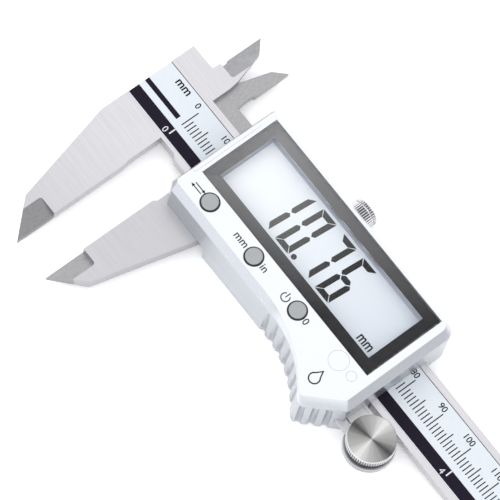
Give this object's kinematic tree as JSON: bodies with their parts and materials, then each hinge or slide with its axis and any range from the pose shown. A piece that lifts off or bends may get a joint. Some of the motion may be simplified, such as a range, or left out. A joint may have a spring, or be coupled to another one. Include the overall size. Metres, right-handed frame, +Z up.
{
  "type": "digital caliper",
  "caption": "Digital caliper: graduated steel beam with fixed jaws, sliding display unit with moving jaws, thumb roller, lock screw, push buttons and depth rod.",
  "frame": {"origin": "bottom centre of the whole caliper as it lies on its back with the display up", "axes": "+X along the beam from the jaws to the depth rod's end, +Y towards the inside jaws' tips, +Z up out of the display"},
  "size_m": [0.2506, 0.0758, 0.0149],
  "materials": {
    "beam_steel": "fine brushed along the beam, satin",
    "slider_steel": "fine brushed, satin",
    "knob_steel": "turned and knurled, satin chrome",
    "button_steel": "satin metallised cap",
    "cell_steel": "nickel-plated",
    "screw_steel": "plain machined",
    "scale_strip": "etched laminate strip",
    "label_print": "printed polyester film",
    "gib_brass": "machined",
    "contact_brass": "plated spring strip",
    "case_satin": "satin silver-white",
    "lens_clear": "clear window",
    "mask_grey": "dark printed film",
    "bezel_plastic": "moulded, light grey",
    "display_glass": "pale grey display",
    "seal_rubber": "black elastomer",
    "pad_rubber": "grey silicone",
    "board_laminate": "solder-masked laminate",
    "inner_plastic": "moulded",
    "chip_black": "moulded package",
    "door_plastic": "moulded, fine texture"
  },
  "bodies": {
    "beam": {"main_beam": "beam_steel", "scale_plate": "scale_strip", "scale_label": "label_print", "end_stop": "beam_steel", "end_stop_screws": "screw_steel"},
    "slider": {"slider_frame": "slider_steel", "gib_strip": "gib_brass", "gib_screws": "screw_steel", "depth_rod": "beam_steel", "rod_clamp": "slider_steel", "rod_clamp_screws": "screw_steel", "front_cover": "case_satin", "rear_cover": "case_satin", "case_screws": "screw_steel", "window_lens": "lens_clear", "window_mask": "mask_grey", "display_seal": "seal_rubber", "lcd_bezel": "bezel_plastic", "lcd_panel": "display_glass", "lcd_connectors": "seal_rubber", "circuit_board": "board_laminate", "base_plate": "inner_plastic", "sensor_board": "board_laminate", "board_connector": "inner_plastic", "sensor_chip": "chip_black", "tact_switches": "inner_plastic", "button_pad": "pad_rubber", "button_seals": "seal_rubber", "port_plugs": "case_satin", "battery": "cell_steel", "battery_contact_top": "contact_brass", "battery_contact_side": "contact_brass", "wiper_left": "seal_rubber", "wiper_right": "seal_rubber", "roller_bracket": "slider_steel", "roller_bracket_screws": "screw_steel"},
    "thumb_roller": {"roller_knob": "knob_steel", "drive_wheel": "knob_steel", "roller_screw": "screw_steel"},
    "lock_pad": {"lock_pad": "gib_brass"},
    "lock_screw": {"lock_screw": "knob_steel"},
    "button_function": {"button_function": "button_steel"},
    "button_unit": {"button_unit": "button_steel"},
    "button_zero": {"button_zero": "button_steel"},
    "battery_cover": {"battery_cover": "door_plastic", "battery_cover_seal": "seal_rubber"}
  },
  "joints": [
    {"name": "slider_slide", "type": "slide", "parent": "beam", "child": "slider", "axis": [1, 0, 0], "range_m": [-0.01076, 0.13924]},
    {"name": "roller_spin", "type": "hinge", "parent": "slider", "child": "thumb_roller", "pos_m": [-0.02586, -0.00358, 0.0054], "axis": [0, 0, 1], "range_deg": [-99, 1277]},
    {"name": "lock_pad_press", "type": "slide", "parent": "slider", "child": "lock_pad", "axis": [0, -1, 0], "range_m": [0, 0.0002]},
    {"name": "lock_screw_turn", "type": "hinge", "parent": "lock_pad", "child": "lock_screw", "pos_m": [-0.07003, 0.02672, 0.00365], "axis": [0, -1, 0], "range_deg": [0, 144]},
    {"name": "battery_cover_turn", "type": "hinge", "parent": "slider", "child": "battery_cover", "pos_m": [-0.04263, -0.00347, 0], "axis": [0, 0, -1], "range_deg": [0, 90]},
    {"name": "button_function_press", "type": "slide", "parent": "slider", "child": "button_function", "axis": [0, 0, -1], "range_m": [0, 0.0004], "stiffness_N_per_m": 1000, "springref_m": -0.0005},
    {"name": "button_unit_press", "type": "slide", "parent": "slider", "child": "button_unit", "axis": [0, 0, -1], "range_m": [0, 0.0004], "stiffness_N_per_m": 1000, "springref_m": -0.0005},
    {"name": "button_zero_press", "type": "slide", "parent": "slider", "child": "button_zero", "axis": [0, 0, -1], "range_m": [0, 0.0004], "stiffness_N_per_m": 1000, "springref_m": -0.0005}
  ],
  "couplings": [
    {"joint": "roller_spin", "follows": "slider_slide", "rad_per_m": 160},
    {"joint": "lock_screw_turn", "follows": "lock_pad_press", "rad_per_m": 12566}
  ]
}
